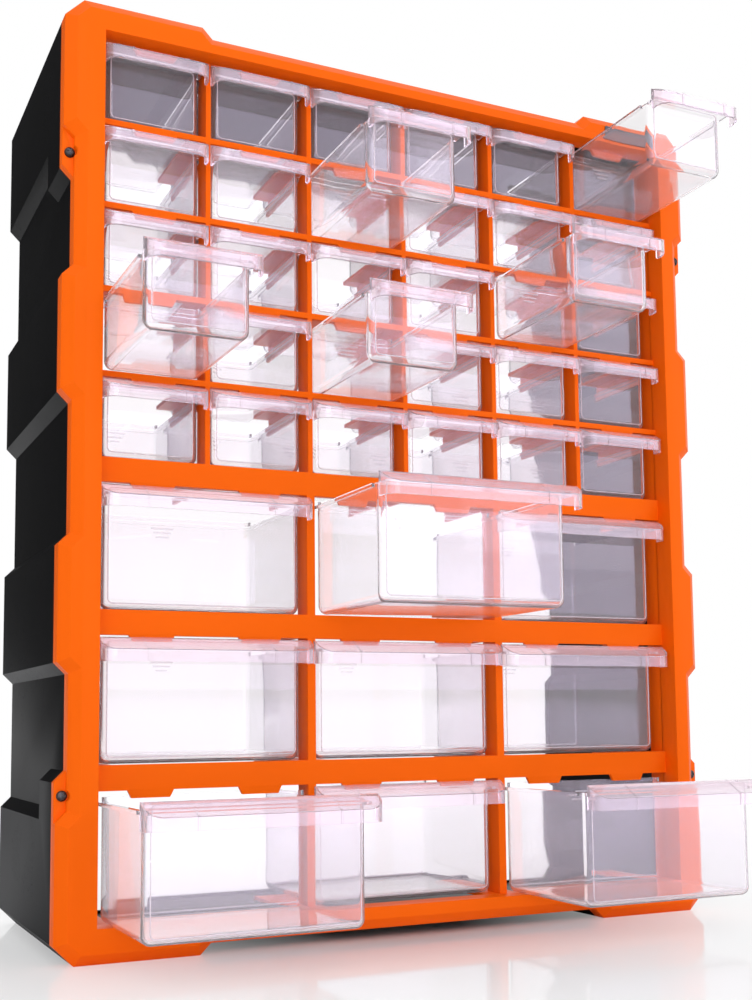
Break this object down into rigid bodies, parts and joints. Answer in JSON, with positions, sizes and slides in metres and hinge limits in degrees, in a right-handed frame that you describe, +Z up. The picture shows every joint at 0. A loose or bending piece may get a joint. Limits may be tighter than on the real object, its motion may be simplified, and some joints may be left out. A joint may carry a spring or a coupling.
{
  "type": "parts bin cabinet",
  "caption": "Parts bin cabinet: an orange front frame with a grid of clear pull-out drawers, small above and large below, on a stepped black housing that is open at the back.",
  "frame": {"origin": "on the surface the cabinet stands on, halfway across it, and halfway between the housing's rear edge and the front lip of the drawer that stands open furthest in the rest pose", "axes": "+Z up, +X to the right as seen from the front, +Y from the front to the rear, so the drawers pull out along -Y"},
  "size_m": [0.38, 0.242, 0.475],
  "materials": {
    "frame_plastic": "moulded orange polypropylene, smooth with a soft gloss",
    "housing_plastic": "moulded black polypropylene, satin with a fine grain",
    "drawer_plastic": "clear polystyrene, glossy, with a faint lilac tint",
    "plate_plastic": "black, smooth, with nothing printed on it",
    "screw_metal": "black-oxide steel"
  },
  "bodies": {
    "cabinet": {"front_frame": "frame_plastic", "cross_bars": "frame_plastic", "upright_bars": "frame_plastic", "drawer_rails": "frame_plastic", "housing": "housing_plastic", "name_plate": "plate_plastic", "frame_screws": "screw_metal"},
    "drawer_small_r1_c1": {"drawer_small_r1_c1": "drawer_plastic"},
    "drawer_small_r1_c2": {"drawer_small_r1_c2": "drawer_plastic"},
    "drawer_small_r1_c3": {"drawer_small_r1_c3": "drawer_plastic"},
    "drawer_small_r1_c4": {"drawer_small_r1_c4": "drawer_plastic"},
    "drawer_small_r1_c5": {"drawer_small_r1_c5": "drawer_plastic"},
    "drawer_small_r1_c6": {"drawer_small_r1_c6": "drawer_plastic"},
    "drawer_small_r2_c1": {"drawer_small_r2_c1": "drawer_plastic"},
    "drawer_small_r2_c2": {"drawer_small_r2_c2": "drawer_plastic"},
    "drawer_small_r2_c3": {"drawer_small_r2_c3": "drawer_plastic"},
    "drawer_small_r2_c4": {"drawer_small_r2_c4": "drawer_plastic"},
    "drawer_small_r2_c5": {"drawer_small_r2_c5": "drawer_plastic"},
    "drawer_small_r2_c6": {"drawer_small_r2_c6": "drawer_plastic"},
    "drawer_small_r3_c1": {"drawer_small_r3_c1": "drawer_plastic"},
    "drawer_small_r3_c2": {"drawer_small_r3_c2": "drawer_plastic"},
    "drawer_small_r3_c3": {"drawer_small_r3_c3": "drawer_plastic"},
    "drawer_small_r3_c4": {"drawer_small_r3_c4": "drawer_plastic"},
    "drawer_small_r3_c5": {"drawer_small_r3_c5": "drawer_plastic"},
    "drawer_small_r3_c6": {"drawer_small_r3_c6": "drawer_plastic"},
    "drawer_small_r4_c1": {"drawer_small_r4_c1": "drawer_plastic"},
    "drawer_small_r4_c2": {"drawer_small_r4_c2": "drawer_plastic"},
    "drawer_small_r4_c3": {"drawer_small_r4_c3": "drawer_plastic"},
    "drawer_small_r4_c4": {"drawer_small_r4_c4": "drawer_plastic"},
    "drawer_small_r4_c5": {"drawer_small_r4_c5": "drawer_plastic"},
    "drawer_small_r4_c6": {"drawer_small_r4_c6": "drawer_plastic"},
    "drawer_small_r5_c1": {"drawer_small_r5_c1": "drawer_plastic"},
    "drawer_small_r5_c2": {"drawer_small_r5_c2": "drawer_plastic"},
    "drawer_small_r5_c3": {"drawer_small_r5_c3": "drawer_plastic"},
    "drawer_small_r5_c4": {"drawer_small_r5_c4": "drawer_plastic"},
    "drawer_small_r5_c5": {"drawer_small_r5_c5": "drawer_plastic"},
    "drawer_small_r5_c6": {"drawer_small_r5_c6": "drawer_plastic"},
    "drawer_large_r1_c1": {"drawer_large_r1_c1": "drawer_plastic"},
    "drawer_large_r1_c2": {"drawer_large_r1_c2": "drawer_plastic"},
    "drawer_large_r1_c3": {"drawer_large_r1_c3": "drawer_plastic"},
    "drawer_large_r2_c1": {"drawer_large_r2_c1": "drawer_plastic"},
    "drawer_large_r2_c2": {"drawer_large_r2_c2": "drawer_plastic"},
    "drawer_large_r2_c3": {"drawer_large_r2_c3": "drawer_plastic"},
    "drawer_large_r3_c1": {"drawer_large_r3_c1": "drawer_plastic"},
    "drawer_large_r3_c2": {"drawer_large_r3_c2": "drawer_plastic"},
    "drawer_large_r3_c3": {"drawer_large_r3_c3": "drawer_plastic"}
  },
  "joints": [
    {"name": "slide_small_r1_c1", "type": "slide", "parent": "cabinet", "child": "drawer_small_r1_c1", "axis": [0, -1, 0], "range_m": [0, 0.0821]},
    {"name": "slide_small_r1_c2", "type": "slide", "parent": "cabinet", "child": "drawer_small_r1_c2", "axis": [0, -1, 0], "range_m": [0, 0.0821]},
    {"name": "slide_small_r1_c3", "type": "slide", "parent": "cabinet", "child": "drawer_small_r1_c3", "axis": [0, -1, 0], "range_m": [0, 0.0821]},
    {"name": "slide_small_r1_c4", "type": "slide", "parent": "cabinet", "child": "drawer_small_r1_c4", "axis": [0, -1, 0], "range_m": [0, 0.0821]},
    {"name": "slide_small_r1_c5", "type": "slide", "parent": "cabinet", "child": "drawer_small_r1_c5", "axis": [0, -1, 0], "range_m": [0, 0.0821]},
    {"name": "slide_small_r1_c6", "type": "slide", "parent": "cabinet", "child": "drawer_small_r1_c6", "axis": [0, -1, 0], "range_m": [-0.07758, 0.00452]},
    {"name": "slide_small_r2_c1", "type": "slide", "parent": "cabinet", "child": "drawer_small_r2_c1", "axis": [0, -1, 0], "range_m": [0, 0.0821]},
    {"name": "slide_small_r2_c2", "type": "slide", "parent": "cabinet", "child": "drawer_small_r2_c2", "axis": [0, -1, 0], "range_m": [0, 0.0821]},
    {"name": "slide_small_r2_c3", "type": "slide", "parent": "cabinet", "child": "drawer_small_r2_c3", "axis": [0, -1, 0], "range_m": [-0.07455, 0.00755]},
    {"name": "slide_small_r2_c4", "type": "slide", "parent": "cabinet", "child": "drawer_small_r2_c4", "axis": [0, -1, 0], "range_m": [0, 0.0821]},
    {"name": "slide_small_r2_c5", "type": "slide", "parent": "cabinet", "child": "drawer_small_r2_c5", "axis": [0, -1, 0], "range_m": [0, 0.0821]},
    {"name": "slide_small_r2_c6", "type": "slide", "parent": "cabinet", "child": "drawer_small_r2_c6", "axis": [0, -1, 0], "range_m": [0, 0.0821]},
    {"name": "slide_small_r3_c1", "type": "slide", "parent": "cabinet", "child": "drawer_small_r3_c1", "axis": [0, -1, 0], "range_m": [0, 0.0821]},
    {"name": "slide_small_r3_c2", "type": "slide", "parent": "cabinet", "child": "drawer_small_r3_c2", "axis": [0, -1, 0], "range_m": [0, 0.0821]},
    {"name": "slide_small_r3_c3", "type": "slide", "parent": "cabinet", "child": "drawer_small_r3_c3", "axis": [0, -1, 0], "range_m": [0, 0.0821]},
    {"name": "slide_small_r3_c4", "type": "slide", "parent": "cabinet", "child": "drawer_small_r3_c4", "axis": [0, -1, 0], "range_m": [0, 0.0821]},
    {"name": "slide_small_r3_c5", "type": "slide", "parent": "cabinet", "child": "drawer_small_r3_c5", "axis": [0, -1, 0], "range_m": [-0.08153, 0.00057]},
    {"name": "slide_small_r3_c6", "type": "slide", "parent": "cabinet", "child": "drawer_small_r3_c6", "axis": [0, -1, 0], "range_m": [0, 0.0821]},
    {"name": "slide_small_r4_c1", "type": "slide", "parent": "cabinet", "child": "drawer_small_r4_c1", "axis": [0, -1, 0], "range_m": [-0.08153, 0.00057]},
    {"name": "slide_small_r4_c2", "type": "slide", "parent": "cabinet", "child": "drawer_small_r4_c2", "axis": [0, -1, 0], "range_m": [0, 0.0821]},
    {"name": "slide_small_r4_c3", "type": "slide", "parent": "cabinet", "child": "drawer_small_r4_c3", "axis": [0, -1, 0], "range_m": [-0.07405, 0.00805]},
    {"name": "slide_small_r4_c4", "type": "slide", "parent": "cabinet", "child": "drawer_small_r4_c4", "axis": [0, -1, 0], "range_m": [0, 0.0821]},
    {"name": "slide_small_r4_c5", "type": "slide", "parent": "cabinet", "child": "drawer_small_r4_c5", "axis": [0, -1, 0], "range_m": [0, 0.0821]},
    {"name": "slide_small_r4_c6", "type": "slide", "parent": "cabinet", "child": "drawer_small_r4_c6", "axis": [0, -1, 0], "range_m": [0, 0.0821]},
    {"name": "slide_small_r5_c1", "type": "slide", "parent": "cabinet", "child": "drawer_small_r5_c1", "axis": [0, -1, 0], "range_m": [0, 0.0821]},
    {"name": "slide_small_r5_c2", "type": "slide", "parent": "cabinet", "child": "drawer_small_r5_c2", "axis": [0, -1, 0], "range_m": [0, 0.0821]},
    {"name": "slide_small_r5_c3", "type": "slide", "parent": "cabinet", "child": "drawer_small_r5_c3", "axis": [0, -1, 0], "range_m": [0, 0.0821]},
    {"name": "slide_small_r5_c4", "type": "slide", "parent": "cabinet", "child": "drawer_small_r5_c4", "axis": [0, -1, 0], "range_m": [0, 0.0821]},
    {"name": "slide_small_r5_c5", "type": "slide", "parent": "cabinet", "child": "drawer_small_r5_c5", "axis": [0, -1, 0], "range_m": [0, 0.0821]},
    {"name": "slide_small_r5_c6", "type": "slide", "parent": "cabinet", "child": "drawer_small_r5_c6", "axis": [0, -1, 0], "range_m": [0, 0.0821]},
    {"name": "slide_large_r1_c1", "type": "slide", "parent": "cabinet", "child": "drawer_large_r1_c1", "axis": [0, -1, 0], "range_m": [0, 0.0821]},
    {"name": "slide_large_r1_c2", "type": "slide", "parent": "cabinet", "child": "drawer_large_r1_c2", "axis": [0, -1, 0], "range_m": [-0.08185, 0.00025]},
    {"name": "slide_large_r1_c3", "type": "slide", "parent": "cabinet", "child": "drawer_large_r1_c3", "axis": [0, -1, 0], "range_m": [0, 0.0821]},
    {"name": "slide_large_r2_c1", "type": "slide", "parent": "cabinet", "child": "drawer_large_r2_c1", "axis": [0, -1, 0], "range_m": [0, 0.0821]},
    {"name": "slide_large_r2_c2", "type": "slide", "parent": "cabinet", "child": "drawer_large_r2_c2", "axis": [0, -1, 0], "range_m": [0, 0.0821]},
    {"name": "slide_large_r2_c3", "type": "slide", "parent": "cabinet", "child": "drawer_large_r2_c3", "axis": [0, -1, 0], "range_m": [0, 0.0821]},
    {"name": "slide_large_r3_c1", "type": "slide", "parent": "cabinet", "child": "drawer_large_r3_c1", "axis": [0, -1, 0], "range_m": [-0.08185, 0.00025]},
    {"name": "slide_large_r3_c2", "type": "slide", "parent": "cabinet", "child": "drawer_large_r3_c2", "axis": [0, -1, 0], "range_m": [0, 0.0821]},
    {"name": "slide_large_r3_c3", "type": "slide", "parent": "cabinet", "child": "drawer_large_r3_c3", "axis": [0, -1, 0], "range_m": [-0.08185, 0.00025]}
  ]
}
